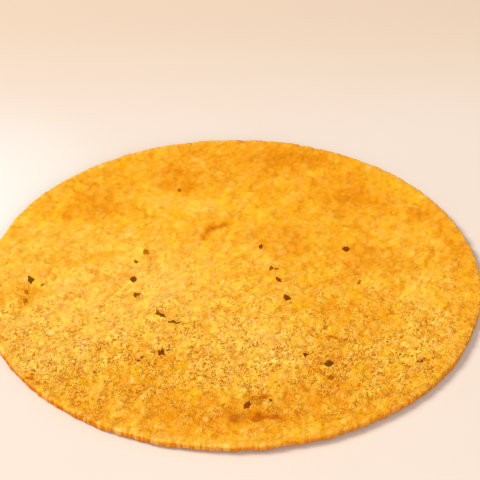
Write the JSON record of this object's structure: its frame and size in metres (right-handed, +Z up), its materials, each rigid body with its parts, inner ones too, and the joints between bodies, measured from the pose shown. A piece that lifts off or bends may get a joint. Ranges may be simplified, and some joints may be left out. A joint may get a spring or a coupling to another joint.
{
  "type": "khakhra",
  "caption": "Thin, crisp, round wheat flatbread, roasted golden, with a granular crust, low blisters, a craggy rim and small bits of leaf.",
  "frame": {"origin": "centre of the bread's outline, on the surface that it lies on", "axes": "+Z up through the thickness; -Y towards the browned bubble near the front edge"},
  "size_m": [0.1504, 0.1502, 0.0031],
  "materials": {
    "roasted_dough": "dry, matt, golden roasted wheat crust",
    "leaf": "dry, dark olive brown leaf",
    "flour_grain": "dry, pale cream coarse flour grain",
    "chilli": "dry, orange red chilli flake"
  },
  "bodies": {
    "root": {"khakhra": "roasted_dough"}
  },
  "joints": []
}
